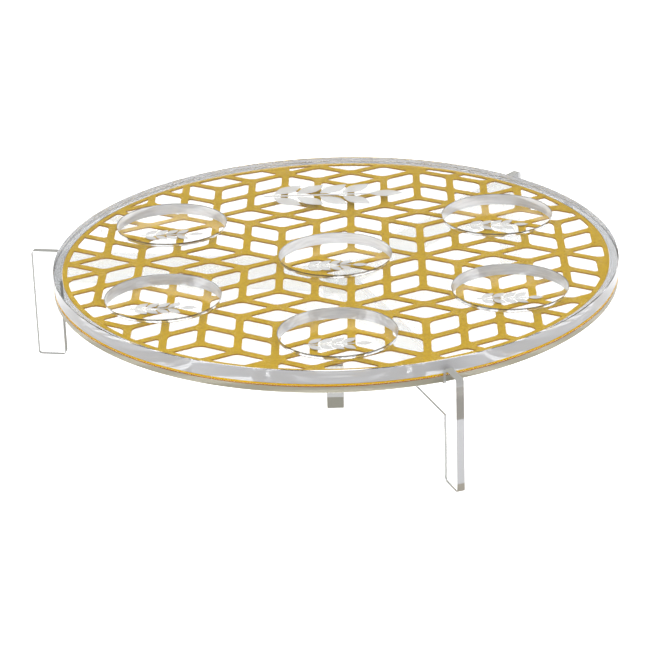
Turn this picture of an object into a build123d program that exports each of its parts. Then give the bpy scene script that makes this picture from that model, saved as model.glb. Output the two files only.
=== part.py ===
from build123d import *
import math
import os

# Seder plate of clear acrylic with a gold lattice inside, lying on a stand of three flat legs.
# Millimetres. The origin is on the plate's axis at table level, +Z is up and -Y is the front.

# Sheets of the plate
plate_radius = 200
base_thickness = 5
lattice_thickness = 1
top_thickness = 10
bond_film = 0.05  # glue line between two bonded faces
edge_break = 0.4  # polished edge of the rim and of the wells' mouths

# Wells: one on the axis and five on a circle, with the sixth place at the back left solid
well_radius = 40
well_depth = 8.2
well_circle_radius = 137.5
outer_wells = 5
first_well_azimuth = 150
well_azimuth_span = 240

# Gold sheet, cut to a tumbling-blocks lattice
spacer_width = 6.25  # of the clear ring between the gold sheet and the rim
spacer_clearance = 0.25  # between the gold sheet and that ring
lattice_rim_width = 3.5
star_pitch = 100  # distance between two points where six long bars meet
bar_width = 5.4
lattice_shift = (-39.0, 1.0)
lattice_turn = -0.87
tip_radius = 2.0  # corner radius at the sharp tips of an opening
blunt_radius = 6.5  # corner radius at its blunt corners
smallest_opening = 40  # area in mm2 below which an opening is left uncut

# Legs: flat panels with a post outside the rim and an arm under the plate
leg_names = ("leg_left", "leg_front", "leg_back")
first_leg_azimuth = 170.3
leg_thickness = 5.5
leg_corner_radius = 2.2
post_height = 81
post_width = 20.5
rim_clearance = 2.0  # between the rim and the posts
arm_bottom = 47.5
arm_depth = 22.5
arm_overrun = 18  # length of an arm past the axis
seat_clearance = 0.05  # between the arms and the plate that lies on them
slot_clearance = 0.3  # on each side of a slot, and between the webs of two crossing arms

# Foot blocks bonded under the plate
foot_names = ("foot_front", "foot_right", "foot_left")
first_foot_azimuth = -90.8
foot_width = 10.8
foot_height = 10.8
foot_length = 28
foot_setback = 0.3  # from the rim to the outer face of a block

# Heights that follow from the sizes above
arm_top = arm_bottom + arm_depth
base_bottom = arm_top + seat_clearance
lattice_bottom = base_bottom + base_thickness + bond_film
top_disc_bottom = lattice_bottom + lattice_thickness + bond_film
plate_top = top_disc_bottom + top_thickness

# Radii of the spacer ring's bore and of the gold sheet
spacer_bore_radius = plate_radius - spacer_width
lattice_radius = spacer_bore_radius - spacer_clearance


# Base disc
with BuildPart() as base_disc:
    with BuildSketch(Plane.XY.offset(base_bottom)):
        Circle(plate_radius)
    extrude(amount=base_thickness)
    chamfer(base_disc.edges().group_by(Axis.Z)[0], edge_break)

# Top disc with its wells
with BuildPart() as top_disc:
    with BuildSketch(Plane.XY.offset(top_disc_bottom)):
        Circle(plate_radius)
    extrude(amount=top_thickness)
    with BuildSketch(Plane.XY.offset(plate_top)):
        Circle(well_radius)
        with PolarLocations(
            well_circle_radius,
            outer_wells,
            start_angle=first_well_azimuth,
            angular_range=well_azimuth_span,
            endpoint=True,
        ):
            Circle(well_radius)
    extrude(amount=-well_depth, mode=Mode.SUBTRACT)
    chamfer(top_disc.faces().sort_by(Axis.Z)[-1].edges(), edge_break)


# Gold lattice: each star point starts three large rhombs, each cut as two by two openings
rhomb_edge = star_pitch / math.sqrt(3) / 2
opening_edge = rhomb_edge - bar_width / math.sin(math.radians(60))
half_length = opening_edge * math.cos(math.radians(30))
half_width = opening_edge * math.sin(math.radians(30))


def opening_places():
    """Locations of every opening that can reach inside the lattice's rim."""
    places = []
    reach = math.ceil(2 * lattice_radius / star_pitch) + 1
    for row in range(-reach, reach + 1):
        for column in range(-reach, reach + 1):
            star = Vector(column + row / 2, row * math.sqrt(3) / 2) * star_pitch
            for long_axis in (0, 60, 120):
                first_side = Vector(rhomb_edge, 0).rotate(Axis.Z, long_axis - 30)
                second_side = Vector(rhomb_edge, 0).rotate(Axis.Z, long_axis + 30)
                for first_step in (0.5, 1.5):
                    for second_step in (0.5, 1.5):
                        centre = star + first_side * first_step + second_side * second_step
                        centre = centre.rotate(Axis.Z, lattice_turn) + Vector(*lattice_shift)
                        if centre.length < lattice_radius + half_length:
                            places.append(Location(centre, (0, 0, long_axis + lattice_turn)))
    return places


with BuildSketch() as opening:
    with BuildLine():
        Polyline((half_length, 0), (0, half_width), (-half_length, 0), (0, -half_width), close=True)
    make_face()
    tips = opening.vertices().sort_by(Axis.X)
    fillet([tips[0], tips[-1]], tip_radius)
    blunt_corners = opening.vertices().sort_by(Axis.Y)
    fillet([blunt_corners[0], blunt_corners[-1]], blunt_radius)

with BuildSketch() as all_openings:
    with Locations(*opening_places()):
        add(opening.sketch)
    Circle(lattice_radius - lattice_rim_width, mode=Mode.INTERSECT)

with BuildPart() as gold_lattice:
    with BuildSketch(Plane.XY.offset(lattice_bottom)):
        Circle(lattice_radius)
        add(all_openings.faces().filter_by(lambda face: face.area > smallest_opening), mode=Mode.SUBTRACT)
    extrude(amount=lattice_thickness)

# Clear ring around the gold sheet
with BuildPart() as spacer_ring:
    with BuildSketch(Plane.XY.offset(lattice_bottom)):
        Circle(plate_radius)
        Circle(spacer_bore_radius, mode=Mode.SUBTRACT)
    extrude(amount=lattice_thickness)


def upright_plane(azimuth):
    """Plane through the axis: its X points outwards along the azimuth and its Y points up."""
    outward = Vector(1, 0, 0).rotate(Axis.Z, azimuth)
    return Plane(origin=(0, 0, 0), x_dir=outward, z_dir=outward.rotate(Axis.Z, -90))


# Legs: the arms cross on the axis, each with its web in one third of the arm's depth
post_middle = plate_radius + rim_clearance + post_width / 2
arm_length = arm_overrun + post_middle
web_depth = arm_depth / len(leg_names)
slot_width = leg_thickness * (1 + math.cos(math.radians(60))) / math.sin(math.radians(60)) + 2 * slot_clearance


def build_leg(azimuth, webs_below):
    """Leg panel along an azimuth, whose arm crosses over the given number of webs."""
    webs_above = len(leg_names) - 1 - webs_below
    with BuildPart() as leg:
        with BuildSketch(upright_plane(azimuth)):
            with Locations((post_middle, post_height / 2)):
                RectangleRounded(post_width, post_height, leg_corner_radius)
            with Locations((post_middle - arm_length / 2, arm_bottom + arm_depth / 2)):
                RectangleRounded(arm_length, arm_depth, leg_corner_radius)
            if webs_above:
                with Locations((0, arm_top)):
                    Rectangle(slot_width, 2 * webs_above * web_depth + slot_clearance, mode=Mode.SUBTRACT)
            if webs_below:
                with Locations((0, arm_bottom)):
                    Rectangle(slot_width, 2 * webs_below * web_depth + slot_clearance, mode=Mode.SUBTRACT)
        extrude(amount=leg_thickness / 2, both=True)
    return leg.part


def build_foot(azimuth):
    """Block under the base, with its outer face just inside the rim."""
    with BuildPart() as foot:
        with BuildSketch(upright_plane(azimuth)):
            outer_top_corner = (plate_radius - foot_setback, base_bottom - bond_film)
            with Locations(outer_top_corner):
                Rectangle(foot_length, foot_height, align=(Align.MAX, Align.MAX))
        extrude(amount=foot_width / 2, both=True)
    return foot.part


pieces = {
    "base_disc": base_disc.part,
    "top_disc": top_disc.part,
    "gold_lattice": gold_lattice.part,
    "spacer_ring": spacer_ring.part,
}
for place, leg_name in enumerate(leg_names):
    pieces[leg_name] = build_leg(first_leg_azimuth + place * 360 / len(leg_names), webs_below=place)
for place, foot_name in enumerate(foot_names):
    pieces[foot_name] = build_foot(first_foot_azimuth + place * 360 / len(foot_names))

os.makedirs("parts", exist_ok=True)
for piece_name, piece in pieces.items():
    piece.label = piece_name
    export_step(piece, f"parts/{piece_name}.step")
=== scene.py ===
import math

import bpy
from mathutils import Matrix, Vector


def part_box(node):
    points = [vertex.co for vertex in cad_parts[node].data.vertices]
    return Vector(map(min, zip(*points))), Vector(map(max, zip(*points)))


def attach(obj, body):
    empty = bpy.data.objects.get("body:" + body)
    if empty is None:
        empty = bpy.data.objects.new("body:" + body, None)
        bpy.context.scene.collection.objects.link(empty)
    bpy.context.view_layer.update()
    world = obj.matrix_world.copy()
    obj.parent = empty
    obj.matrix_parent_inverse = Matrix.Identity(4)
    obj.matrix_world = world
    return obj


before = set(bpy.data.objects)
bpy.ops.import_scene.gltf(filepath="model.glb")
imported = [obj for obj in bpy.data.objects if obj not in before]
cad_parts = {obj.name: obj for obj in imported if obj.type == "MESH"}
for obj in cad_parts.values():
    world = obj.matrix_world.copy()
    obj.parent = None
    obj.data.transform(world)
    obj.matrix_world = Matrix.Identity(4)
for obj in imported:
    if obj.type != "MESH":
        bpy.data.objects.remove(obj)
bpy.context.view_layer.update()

# Seder plate of clear acrylic sheets with a gold lattice inside, lying on a stand of three flat legs.
# Lengths are in metres, written as millimetres times MM. Angles are in degrees, and -Y is the front.
MM = 0.001


def height_range(node_name):
    """Heights of the lowest and the highest point of a CAD node."""
    lowest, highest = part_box(node_name)
    return lowest.z, highest.z


# Sizes that the frame gives
plate_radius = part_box("top_disc")[1].x
base_heights = height_range("base_disc")
ring_heights = height_range("spacer_ring")
top_disc_heights = height_range("top_disc")
post_heights = height_range("leg_front")
foot_heights = height_range("foot_front")
base_bottom = base_heights[0]
plate_top = top_disc_heights[1]

# Wells: one in the middle and five around it
well_depth = 8.2 * MM
well_circle_radius = 137.5 * MM
outer_wells = 5
first_well_azimuth = 150
well_azimuth_step = 60
well_floor = plate_top - well_depth

# Legs and foot blocks, each a third of a turn apart
leg_names = ("leg_left", "leg_front", "leg_back")
first_leg_azimuth = 170.3
foot_names = ("foot_front", "foot_right", "foot_left")
first_foot_azimuth = -90.8
third_of_turn = 120
rim_clearance = 2.0 * MM  # between the rim and the posts
post_width = 20.5 * MM
arm_depth = 22.5 * MM
seat_clearance = 0.05 * MM  # between the arms and the plate that lies on them
leg_azimuths = {name: first_leg_azimuth + step * third_of_turn for step, name in enumerate(leg_names)}
foot_azimuths = {name: first_foot_azimuth + step * third_of_turn for step, name in enumerate(foot_names)}
post_inner_radius = plate_radius + rim_clearance
post_outer_radius = post_inner_radius + post_width
arm_bottom = base_bottom - seat_clearance - arm_depth
arm_middle = arm_bottom + arm_depth / 2

# Painted shade lines along the edges of the legs' broad faces, and where the front arm's painted lower edge
# fades out
line_width = 1.4 * MM
inner_line_width = 0.6 * MM
arm_fade_radius = 156.0 * MM
arm_fade_length = 8.0 * MM

# How faces are told apart: by where they are and by the cosines of their slopes
rim_depth = 2.0 * MM  # faces nearer to the rim than this belong to it
rim_radius = plate_radius - rim_depth
facing_cosine = 0.5  # above this a face looks along a direction
flat_cosine = 0.9  # above this a face lies flat

# Frosted sprigs: a short one in each well and a long one at the back of the plate
well_mark_length = 46.0 * MM
well_mark_shift = 2.0 * MM  # from a well's middle towards the front
back_mark_length = 104.0 * MM
back_mark_place = (0.0, 118.0 * MM)
mark_height = 0.06 * MM
mark_gap = 0.01 * MM  # between a sprig and the face under it

# Shape of a sprig, in shares of its length
stem_width_share = 0.03
leaf_length_share = 0.26
leaf_width_share = 0.125
first_leaf_share = 0.07
leaf_step_share = 0.165
leaf_pairs = 4
leaf_angle = 42
leaf_start_share = 0.9  # of the stem's width, from the stem's middle to a leaf
end_leaf_share = 0.97  # of the length of the other leaves
leaf_steps = 8  # points along each side of a leaf

# Clear acrylic
refraction = 1.49
face_colour = (0.985, 0.992, 0.99)
absorption_colour = (0.0, 0.02, 0.06)
absorption_density = 0.8  # per metre, which greys the views along the sheets
hidden_alpha = 0.02  # of edges that hardly show

# Cut faces of the acrylic: from outside, painted grey shade and reflection of the dim surroundings; from
# inside, clearer with a lighter painted grey, or painted dark shade
painted_edge_shade = (0.30, 0.30, 0.28)
edge_roughness = 0.05
edge_shade_transmission = 0.15
inner_transmission = 0.85
inner_colour = (0.72, 0.72, 0.73)
# Painted dark shade that outlines the wells, seen from inside
outline_shade_transmission = 0.1
painted_outline_shade = (0.16, 0.13, 0.085)
# Painted shade for the edge lines of the legs and for the back post's tab
painted_line_shade = (0.34, 0.34, 0.33)
painted_tab_shade = (0.27, 0.27, 0.27)
# Painted reflection of the surroundings on the rims of the top disc and of the base
painted_rim_reflection = (0.55, 0.55, 0.555)
painted_base_rim_reflection = (0.31, 0.29, 0.215)
# Painted shade on the feet's outer ends, with a paler painted highlight along the top
painted_foot_shade = (0.23, 0.225, 0.19)
painted_foot_top_highlight = (0.42, 0.42, 0.41)

# Outer end of a post, from its foot up: painted shade and reflection of what shows through the clear end
painted_post_foot_shade = (0.29, 0.27, 0.23)
painted_low_post_reflection = (0.44, 0.44, 0.45)
painted_middle_post_reflection = (0.48, 0.48, 0.49)
painted_arm_shade = (0.24, 0.23, 0.21)
painted_post_top_shade = (0.32, 0.32, 0.31)

# Painted streaks of reflection on the walls of the wells, finer across the sheet than along it
reflection_streak_scale = (80.0, 80.0, 600.0)
painted_streak_colour = (0.84, 0.84, 0.85)
black = (0.0, 0.0, 0.0)
white = (1.0, 1.0, 1.0)

# Gold sheet and the amber that it shows at its edges; the amber, brown and red amber below are painted
# reflection and shade on the clear rims next to it
speckle_scale = (900.0, 900.0, 900.0)
dark_gold = (0.74, 0.43, 0.006)
light_gold = (1.0, 0.70, 0.03)
cut_gold = (0.55, 0.27, 0.0)
painted_amber_reflection = (0.50, 0.29, 0.0)
painted_brown_shade = (0.42, 0.20, 0.0)
painted_red_amber_reflection = (0.28, 0.09, 0.0)

# Light table and studio, with a dark screen behind the plate that is low and narrow
floor_half_width = 6000.0 * MM
floor_drop = 0.5 * MM
horizon_light = (0.60, 0.60, 0.62)
middle_light = (0.62, 0.62, 0.64)
ceiling_light = (2.4, 2.4, 2.4)
screen_half_width = 12.0
screen_top = 32.0
screen_fade = 10.0
screen_brightness = 0.3  # share of the studio's brightness

# Camera, as fitted to the photo
image_pixels = 650
focal_pixels = 2703.7
sensor_width = 36.0  # in millimetres, as the camera takes it
camera_azimuth = 0.30
camera_elevation = 23.491
camera_roll = -1.845
camera_distance = 1810.7 * MM
camera_target = Vector((-8.35, -118.25, 82.46)) * MM
camera_reach = 50000.0 * MM

# How often light may bounce and pass through faces
light_bounces = 48
passes_through = 24

scene = bpy.context.scene


def outward(azimuth):
    """Level unit vector from the axis towards an azimuth."""
    return Vector((math.cos(math.radians(azimuth)), math.sin(math.radians(azimuth)), 0.0))


def surface_input(material, name):
    """Input of a material's surface node, named with underscores for spaces."""
    return material.node_tree.nodes["Principled BSDF"].inputs[name.replace("_", " ")]


def principled(name, **values):
    """New material with the given values on its surface node."""
    material = bpy.data.materials.new(name)
    material.use_nodes = True
    for input_name, value in values.items():
        surface_input(material, input_name).default_value = value
    return material


def acrylic(name, **values):
    """New material of the acrylic, which takes up some of the light inside it."""
    material = principled(name, IOR=refraction, **values)
    tree = material.node_tree
    absorption = tree.nodes.new("ShaderNodeVolumeAbsorption")
    absorption.inputs["Color"].default_value = (*absorption_colour, 1.0)
    absorption.inputs["Density"].default_value = absorption_density
    tree.links.new(absorption.outputs["Volume"], tree.nodes["Material Output"].inputs["Volume"])
    return material


def link_surface(material, **sockets):
    """Links sockets of other nodes to inputs of a material's surface node."""
    for input_name, socket in sockets.items():
        material.node_tree.links.new(socket, surface_input(material, input_name))


def connect(tree, source, node_input):
    """Links a socket to a node's input, or sets a value on it."""
    if isinstance(source, bpy.types.NodeSocket):
        tree.links.new(source, node_input)
    else:
        node_input.default_value = source


def calculate(tree, operation, first, second=0.0):
    """Socket with the result of a sum or comparison of two values or sockets."""
    node = tree.nodes.new("ShaderNodeMath")
    node.operation = operation
    connect(tree, first, node.inputs[0])
    connect(tree, second, node.inputs[1])
    return node.outputs["Value"]


def blend(tree, share, at_zero, at_one):
    """Socket that fades from one value or colour to another as share rises from 0 to 1."""
    node = tree.nodes.new("ShaderNodeMix")
    node.data_type = "RGBA" if isinstance(at_one, (tuple, bpy.types.NodeSocketColor)) else "FLOAT"
    connect(tree, share, node.inputs["Factor"])
    for input_name, source in (("A", at_zero), ("B", at_one)):
        if isinstance(source, tuple):
            source = (*source, 1.0)
        connect(tree, source, node.inputs[input_name])
    return node.outputs["Result"]


def colours_along(tree, share, *stops):
    """Socket that fades through pairs of a position and a colour as share rises from 0 to 1."""
    node = tree.nodes.new("ShaderNodeValToRGB")
    connect(tree, share, node.inputs["Fac"])
    elements = node.color_ramp.elements
    while len(elements) < len(stops):
        elements.new(1.0)
    for element, (position, colour) in zip(elements, stops):
        element.position = position
        element.color = (*colour, 1.0)
    return node.outputs["Color"]


def share_between(tree, value, low, high):
    """Socket that rises from 0 to 1 as a value rises from low to high."""
    node = tree.nodes.new("ShaderNodeMapRange")
    connect(tree, value, node.inputs["Value"])
    node.inputs["From Min"].default_value = low
    node.inputs["From Max"].default_value = high
    return node.outputs["Result"]


def part_of(tree, vector, axis):
    """Socket with the part of a vector along X, Y or Z."""
    node = tree.nodes.new("ShaderNodeSeparateXYZ")
    connect(tree, vector, node.inputs["Vector"])
    return node.outputs[axis]


def place(tree):
    """Socket with the place of a point on its piece, in the frame."""
    return tree.nodes.new("ShaderNodeTexCoord").outputs["Object"]


def colours_by_height(tree, heights, *stops):
    """Socket that fades through pairs of a share of a height range and a colour."""
    height = part_of(tree, place(tree), "Z")
    return colours_along(tree, share_between(tree, height, *heights), *stops)


def outward_distance(tree, azimuth):
    """Socket with the distance of a point from the axis along an azimuth."""
    node = tree.nodes.new("ShaderNodeVectorMath")
    node.operation = "DOT_PRODUCT"
    connect(tree, place(tree), node.inputs[0])
    connect(tree, outward(azimuth), node.inputs[1])
    return node.outputs["Value"]


def noise(tree, scale):
    """Socket of a noise between 0 and 1 whose scale is given along X, Y and Z."""
    stretched = tree.nodes.new("ShaderNodeMapping")
    connect(tree, place(tree), stretched.inputs["Vector"])
    stretched.inputs["Scale"].default_value = scale
    node = tree.nodes.new("ShaderNodeTexNoise")
    connect(tree, stretched.outputs["Vector"], node.inputs["Vector"])
    node.inputs["Scale"].default_value = 1.0
    node.inputs["Detail"].default_value = 3.0
    return node.outputs["Fac"]


def inside_share(tree):
    """Socket that is 1 for light inside the acrylic and 0 for light outside it."""
    return tree.nodes.new("ShaderNodeNewGeometry").outputs["Backfacing"]


def clear_from_inside(material, outer_colours, outer_transmission, outer_roughness, clearness=None):
    """Gives a cut face its outer look, and keeps it clearer for light inside the acrylic, with painted dark
    shade inside wherever clearness falls to 0.
    """
    tree = material.node_tree
    inside = inside_share(tree)
    transmission = inner_transmission
    colour = inner_colour
    if clearness:
        transmission = blend(tree, clearness, outline_shade_transmission, inner_transmission)
        colour = blend(tree, clearness, painted_outline_shade, inner_colour)
    link_surface(
        material,
        Base_Color=blend(tree, inside, outer_colours, colour),
        Transmission_Weight=blend(tree, inside, outer_transmission, transmission),
        Roughness=blend(tree, inside, outer_roughness, 0.0),
    )


def show_by_side(material, outer_alpha, inner_alpha):
    """Sets how much of a face shows from outside the acrylic and how much from inside it."""
    tree = material.node_tree
    link_surface(material, Alpha=blend(tree, inside_share(tree), outer_alpha, inner_alpha))


# Polished faces, and the ring round the gold sheet, tinted grey as painted shade
clear_values = {"Base_Color": (*face_colour, 1.0), "Roughness": 0.0, "Transmission_Weight": 1.0}
clear_face = acrylic("clear_acrylic", **clear_values)
ring = acrylic(
    "acrylic_ring",
    Base_Color=(0.60, 0.60, 0.61, 1.0),
    Roughness=0.0,
    Transmission_Weight=1.0,
)

# Rims of the top disc and of the base: painted grey reflection of the surroundings, with a painted amber
# reflection of the gold sheet along the edge next to it
top_rim = acrylic("acrylic_cut_edge", Specular_IOR_Level=0.0)
top_rim_colours = colours_by_height(top_rim.node_tree, top_disc_heights, (0.03, painted_amber_reflection), (0.045, painted_rim_reflection))
clear_from_inside(top_rim, top_rim_colours, outer_transmission=0.5, outer_roughness=0.02)
base_rim = acrylic("acrylic_base_edge", Specular_IOR_Level=0.0)
base_rim_colours = colours_by_height(base_rim.node_tree, base_heights, (0.84, painted_base_rim_reflection), (0.88, painted_red_amber_reflection))
clear_from_inside(base_rim, base_rim_colours, outer_transmission=0.3, outer_roughness=0.05)

# Walls of the wells, with painted dark shade from inside at the floor and in their upper half, and the broken
# edges of their mouths, painted grey as shade
well_wall = acrylic("acrylic_well_wall")
wall_colours = colours_along(
    well_wall.node_tree,
    noise(well_wall.node_tree, reflection_streak_scale),
    (0.35, painted_streak_colour),
    (0.65, white),
)
wall_without_painted_shade = colours_by_height(
    well_wall.node_tree,
    (well_floor, plate_top),
    (0.08, black),
    (0.12, white),
    (0.50, white),
    (0.54, black),
)
clear_from_inside(
    well_wall,
    wall_colours,
    outer_transmission=0.4,
    outer_roughness=0.01,
    clearness=wall_without_painted_shade,
)
# Painted grey shade on the broken edges of the wells' mouths
mouth_edge = acrylic(
    "acrylic_mouth_edge",
    Base_Color=(0.35, 0.35, 0.34, 1.0),
    Roughness=0.05,
    Transmission_Weight=0.4,
    Specular_IOR_Level=0.0,
)

# Edges of the legs, painted grey as shade, which hardly show on the arms
edge_shade_values = {
    "Base_Color": (*painted_edge_shade, 1.0),
    "Roughness": edge_roughness,
    "Transmission_Weight": edge_shade_transmission,
    "Specular_IOR_Level": 0.0,
}
leg_edge = acrylic("acrylic_leg_edge", **edge_shade_values)
arm_edge = acrylic("acrylic_arm_edge", Transmission_Weight=1.0, Alpha=hidden_alpha)

# The painted grey shade on the lower edge of the front arm fades out where it runs under the plate
arm_bottom_edge = acrylic("acrylic_arm_bottom_edge", **edge_shade_values)
arm_distance = outward_distance(arm_bottom_edge.node_tree, leg_azimuths["leg_front"])
arm_share = share_between(
    arm_bottom_edge.node_tree,
    arm_distance,
    arm_fade_radius - arm_fade_length,
    arm_fade_radius,
)
link_surface(arm_bottom_edge, Alpha=arm_share)


def post_end(name):
    """Material of a post's outer end, with painted shade and reflection in bands up its height, darkest where
    the arm runs in behind it.
    """
    material = acrylic(name, **edge_shade_values)
    colours = colours_by_height(
        material.node_tree,
        post_heights,
        (0.075, painted_post_foot_shade),
        (0.085, painted_low_post_reflection),
        (0.645, painted_middle_post_reflection),
        (0.655, painted_arm_shade),
        (0.930, painted_arm_shade),
        (0.940, painted_post_top_shade),
    )
    link_surface(material, Base_Color=colours)
    return material


# The upright edges of the back post show from the back only
front_end = post_end("acrylic_post_end")
back_end = post_end("acrylic_back_end")
show_by_side(back_end, 1.0, hidden_alpha)
back_inner_edge = acrylic("acrylic_back_inner_edge", **edge_shade_values)
show_by_side(back_inner_edge, hidden_alpha, 1.0)


def edge_lines(tree, azimuth, has_arm_lines):
    """Socket that is 1 along the painted shade lines at the edges of a leg's broad face, seen from outside,
    and 0 elsewhere.
    """
    radius = outward_distance(tree, azimuth)
    height = part_of(tree, place(tree), "Z")
    outer = calculate(tree, "GREATER_THAN", radius, post_outer_radius - line_width)
    bottom = calculate(tree, "LESS_THAN", height, line_width)
    inner = calculate(tree, "LESS_THAN", radius, post_inner_radius + inner_line_width)
    below_arm = calculate(tree, "LESS_THAN", height, arm_bottom)
    lines = calculate(tree, "MAXIMUM", outer, bottom)
    lines = calculate(tree, "MAXIMUM", lines, calculate(tree, "MINIMUM", inner, below_arm))
    if has_arm_lines:
        on_arm = calculate(tree, "LESS_THAN", radius, post_inner_radius)
        from_middle = calculate(tree, "ABSOLUTE", calculate(tree, "SUBTRACT", height, arm_middle))
        near_edge = calculate(tree, "GREATER_THAN", from_middle, arm_depth / 2 - line_width)
        lines = calculate(tree, "MAXIMUM", lines, calculate(tree, "MINIMUM", near_edge, on_arm))
    return blend(tree, inside_share(tree), lines, 0.0)


def grey_above_arm(tree):
    """Socket with the colours of the back post's broad faces: clear, with painted grey shade on the tab at
    the top.
    """
    return colours_by_height(tree, post_heights, (0.86, face_colour), (0.87, painted_tab_shade))


def outlined_face(name, azimuth, has_grey_top, has_arm_lines):
    """Material of a leg's broad face: clear, with a painted shade line along its edges."""
    material = acrylic(name, Roughness=0.0)
    tree = material.node_tree
    colour = grey_above_arm(tree) if has_grey_top else face_colour
    lines = edge_lines(tree, azimuth, has_arm_lines)
    link_surface(
        material,
        Base_Color=blend(tree, lines, colour, painted_line_shade),
        Transmission_Weight=blend(tree, lines, 1.0, edge_shade_transmission),
    )
    return material


# Broad faces of the legs: painted shade lines on the left leg and on all far faces, and painted grey shade on
# the top of the back post
left_face = outlined_face(
    "acrylic_left_face",
    leg_azimuths["leg_left"],
    has_grey_top=False,
    has_arm_lines=False,
)
back_face = acrylic("acrylic_back_face", Roughness=0.0, Transmission_Weight=1.0)
link_surface(back_face, Base_Color=grey_above_arm(back_face.node_tree))
far_faces = {}
for name, azimuth in leg_azimuths.items():
    far_faces[name] = outlined_face(
        f"acrylic_far_face_of_{name}",
        azimuth,
        has_grey_top=name == "leg_back",
        has_arm_lines=True,
    )

# Foot blocks: their outer ends carry painted shade with a paler painted highlight along the top, and the
# sides of two show from outside only
foot_end = acrylic("acrylic_foot_end", Specular_IOR_Level=0.0)
foot_colours = colours_by_height(foot_end.node_tree, foot_heights, (0.70, painted_foot_shade), (0.74, painted_foot_top_highlight))
clear_from_inside(foot_end, foot_colours, outer_transmission=0.15, outer_roughness=0.05)
foot_side = acrylic("acrylic_foot_side", **clear_values)
show_by_side(foot_side, 1.0, hidden_alpha)

# Gold sheet: satin faces with a fine speckle, amber cut edges
gold = principled("gold_sheet", Metallic=0.5, Roughness=0.5, Specular_IOR_Level=0.0)
speckle = noise(gold.node_tree, speckle_scale)
gold_colours = colours_along(gold.node_tree, speckle, (0.3, dark_gold), (0.7, light_gold))
gold_normal = gold.node_tree.nodes.new("ShaderNodeNewGeometry").outputs["True Normal"]
flatness = calculate(gold.node_tree, "ABSOLUTE", part_of(gold.node_tree, gold_normal, "Z"))
link_surface(gold, Base_Color=blend(gold.node_tree, flatness, cut_gold, gold_colours))

# Rim of the clear ring, painted with a reflection of the gold sheet: amber, with painted brown shade along
# its lower edge
ring_rim_painted_gold = principled("ring_rim_painted_gold", Roughness=0.5, Specular_IOR_Level=0.0)
ring_rim_painted_colours = colours_by_height(ring_rim_painted_gold.node_tree, ring_heights, (0.0, painted_brown_shade), (0.5, painted_amber_reflection))
link_surface(ring_rim_painted_gold, Base_Color=ring_rim_painted_colours)

# Frosted surface of the sprigs
frost = principled("frosted_mark", Base_Color=(0.52, 0.52, 0.51, 1.0), Roughness=0.7, Alpha=0.68)


def finish_faces(node_name, material, *tests):
    """Gives the faces of a CAD node that pass all tests their own material."""
    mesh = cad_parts[node_name].data
    mesh.materials.append(material)
    slot = len(mesh.materials) - 1
    for face in mesh.polygons:
        if all(test(face) for test in tests):
            face.material_index = slot


# Tests that tell faces apart
def is_upright(face):
    return abs(face.normal.z) < facing_cosine


def is_not_flat(face):
    return abs(face.normal.z) < flat_cosine


def is_broken_edge(face):
    return facing_cosine < face.normal.z < flat_cosine


def is_not_top(face):
    return face.normal.z < facing_cosine


def looks_down(face):
    return face.normal.z < -facing_cosine


def looks_back(face):
    return face.normal.y > 0.0


def is_at_rim(face):
    return face.center.xy.length > rim_radius


def is_within_rim(face):
    return not is_at_rim(face)


def is_under_plate(face):
    return face.center.xy.length < plate_radius


def is_beside_plate(face):
    return not is_under_plate(face)


def is_below_base(face):
    return face.center.z < base_bottom


def looks_towards(azimuth):
    """Test for faces that look outwards along an azimuth."""
    direction = outward(azimuth)
    return lambda face: face.normal.dot(direction) > facing_cosine


def is_panel_edge(azimuth):
    """Test for the narrow faces of a panel that stands along an azimuth."""
    across = outward(azimuth + 90)
    return lambda face: abs(face.normal.dot(across)) < facing_cosine


def is_panel_face(azimuth):
    """Test for the broad faces of a panel that stands along an azimuth."""
    is_edge = is_panel_edge(azimuth)
    return lambda face: not is_edge(face)


# Plate
sheet_materials = {"gold_lattice": gold, "spacer_ring": ring}
for name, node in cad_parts.items():
    node.data.materials.clear()
    node.data.materials.append(sheet_materials.get(name, clear_face))
finish_faces("top_disc", top_rim, is_upright, is_at_rim)
finish_faces("top_disc", well_wall, is_upright, is_within_rim)
finish_faces("top_disc", mouth_edge, is_broken_edge, is_within_rim)
finish_faces("base_disc", base_rim, is_not_flat, is_at_rim)
finish_faces("spacer_ring", ring_rim_painted_gold, is_upright, is_at_rim)

# Legs
for name, azimuth in leg_azimuths.items():
    finish_faces(name, leg_edge, is_panel_edge(azimuth))
    finish_faces(name, arm_edge, is_panel_edge(azimuth), is_under_plate)
finish_faces("leg_front", arm_bottom_edge, is_under_plate, looks_down)
finish_faces("leg_front", front_end, looks_towards(leg_azimuths["leg_front"]), is_at_rim)
finish_faces("leg_left", left_face, is_panel_face(leg_azimuths["leg_left"]))
back_azimuth = leg_azimuths["leg_back"]
low_back_edge = (is_panel_edge(back_azimuth), is_beside_plate, is_below_base)
finish_faces("leg_back", arm_edge, *low_back_edge)
finish_faces("leg_back", back_inner_edge, looks_towards(back_azimuth + 180), *low_back_edge)
finish_faces("leg_back", back_end, looks_towards(back_azimuth), is_at_rim)
finish_faces("leg_back", back_face, is_panel_face(back_azimuth))
for name, azimuth in leg_azimuths.items():
    finish_faces(name, far_faces[name], is_panel_face(azimuth), looks_back)

# Foot blocks
finish_faces("foot_front", leg_edge, is_upright)
for name in ("foot_right", "foot_left"):
    finish_faces(name, foot_side, is_not_top)
for name, azimuth in foot_azimuths.items():
    finish_faces(name, foot_end, looks_towards(azimuth), is_at_rim)


def leaf_outline(start, angle, length, width):
    """Points of a pointed leaf that grows from start along an angle."""
    along = outward(angle) * length
    across = outward(angle + 90) * width / 2
    points = []
    for side in (1, -1):
        for step in range(leaf_steps):
            share = step / leaf_steps if side > 0 else 1 - step / leaf_steps
            points.append(start + along * share + across * side * math.sin(math.pi * share))
    return points


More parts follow.
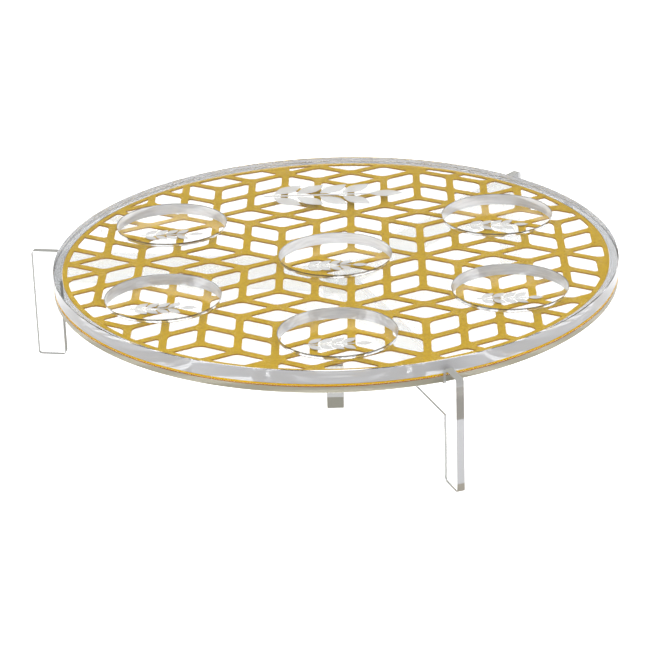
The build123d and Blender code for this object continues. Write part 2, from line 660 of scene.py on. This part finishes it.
def sprig_outlines(length):
    """Outlines of the stem and the leaves of a sprig along X, centred on the origin."""
    stem_width = length * stem_width_share
    leaf_length = length * leaf_length_share
    leaf_width = length * leaf_width_share
    end_leaf_length = leaf_length * end_leaf_share
    stem_start = -length / 2
    stem_end = length / 2 - leaf_length
    stem = [
        Vector((stem_start, -stem_width / 2, 0.0)),
        Vector((stem_end, -stem_width / 2, 0.0)),
        Vector((stem_end, stem_width / 2, 0.0)),
        Vector((stem_start, stem_width / 2, 0.0)),
    ]
    end_leaf_start = Vector((length / 2 - end_leaf_length, 0.0, 0.0))
    outlines = [stem, leaf_outline(end_leaf_start, 0, end_leaf_length, leaf_width)]
    for pair in range(leaf_pairs):
        stalk = stem_start + length * (first_leaf_share + leaf_step_share * pair)
        for side in (1, -1):
            leaf_start = Vector((stalk, side * stem_width * leaf_start_share, 0.0))
            outlines.append(leaf_outline(leaf_start, side * leaf_angle, leaf_length, leaf_width))
    return outlines


def frosted_sprig(name, middle, length):
    """Thin frosted sprig lying flat, with the middle of its underside at a given point."""
    vertices = []
    faces = []
    for outline in sprig_outlines(length):
        first = len(vertices)
        count = len(outline)
        for height in (0.0, mark_height):
            for point in outline:
                vertices.append(middle + point + Vector((0.0, 0.0, height)))
        faces.append(list(range(first + count - 1, first - 1, -1)))
        faces.append(list(range(first + count, first + 2 * count)))
        for index in range(count):
            following = (index + 1) % count
            faces.append([first + index, first + following, first + count + following, first + count + index])
    mesh = bpy.data.meshes.new(name)
    mesh.from_pydata(vertices, [], faces)
    mesh.materials.append(frost)
    sprig = bpy.data.objects.new(name, mesh)
    scene.collection.objects.link(sprig)
    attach(sprig, "plate")


# Sprigs in the wells and at the back of the plate
well_middles = [Vector((0.0, 0.0, 0.0))]
for well in range(outer_wells):
    well_azimuth = first_well_azimuth + well * well_azimuth_step
    well_middles.append(outward(well_azimuth) * well_circle_radius)
mark_offset = Vector((0.0, -well_mark_shift, well_floor + mark_gap))
for number, well_middle in enumerate(well_middles, start=1):
    frosted_sprig(f"well_mark_{number}", well_middle + mark_offset, well_mark_length)
frosted_sprig("back_mark", Vector((*back_mark_place, plate_top + mark_gap)), back_mark_length)

# Floor: a pale light table
floor_mesh = bpy.data.meshes.new("floor")
floor_mesh.from_pydata(
    [
        (-floor_half_width, -floor_half_width, 0.0),
        (floor_half_width, -floor_half_width, 0.0),
        (floor_half_width, floor_half_width, 0.0),
        (-floor_half_width, floor_half_width, 0.0),
    ],
    [],
    [(0, 1, 2, 3)],
)
floor_material = principled(
    "floor",
    Base_Color=(0.35, 0.35, 0.35, 1.0),
    Roughness=1.0,
    Specular_IOR_Level=0.0,
    Emission_Color=(1.0, 1.0, 1.0, 1.0),
    Emission_Strength=1.5,
)
floor_mesh.materials.append(floor_material)
floor = bpy.data.objects.new("floor", floor_mesh)
floor.location.z = -floor_drop
scene.collection.objects.link(floor)

# Studio: a bright ceiling that fades to a dim horizon
world = bpy.data.worlds.new("studio")
scene.world = world
world.use_nodes = True
sky = world.node_tree
background = sky.nodes["Background"]
direction = sky.nodes.new("ShaderNodeTexCoord").outputs["Generated"]
upward = part_of(sky, direction, "Z")
sky_light = colours_along(sky, upward, (0.0, horizon_light), (0.45, middle_light), (0.85, ceiling_light))
connect(sky, sky_light, background.inputs["Color"])

# The dark screen keeps the top of the plate free of glare
bearing = calculate(sky, "ARCTAN2", part_of(sky, direction, "X"), part_of(sky, direction, "Y"))
beside_screen = share_between(
    sky,
    calculate(sky, "ABSOLUTE", bearing),
    math.radians(screen_half_width),
    math.radians(screen_half_width + screen_fade),
)
above_screen = share_between(
    sky,
    upward,
    math.sin(math.radians(screen_top)),
    math.sin(math.radians(screen_top + screen_fade)),
)
off_screen = calculate(sky, "MAXIMUM", beside_screen, above_screen)
connect(sky, blend(sky, off_screen, screen_brightness, 1.0), background.inputs["Strength"])

# Camera
camera_data = bpy.data.cameras.new("camera")
camera_data.sensor_width = sensor_width
camera_data.lens = focal_pixels / image_pixels * sensor_width
camera_data.clip_end = camera_reach
camera = bpy.data.objects.new("camera", camera_data)
scene.collection.objects.link(camera)
scene.camera = camera
elevation = math.radians(camera_elevation)
roll = math.radians(camera_roll)
right = outward(camera_azimuth)
back = outward(camera_azimuth - 90) * math.cos(elevation) + Vector((0.0, 0.0, math.sin(elevation)))
up = back.cross(right)
camera_x = right * math.cos(roll) + up * math.sin(roll)
camera_y = up * math.cos(roll) - right * math.sin(roll)
camera_turn = Matrix((camera_x, camera_y, back)).transposed().to_4x4()
camera.matrix_world = Matrix.Translation(camera_target + back * camera_distance) @ camera_turn

# Picture settings
scene.view_settings.view_transform = "Standard"
scene.cycles.use_denoising = True
scene.cycles.max_bounces = light_bounces
scene.cycles.glossy_bounces = light_bounces
scene.cycles.transmission_bounces = light_bounces
scene.cycles.transparent_max_bounces = passes_through
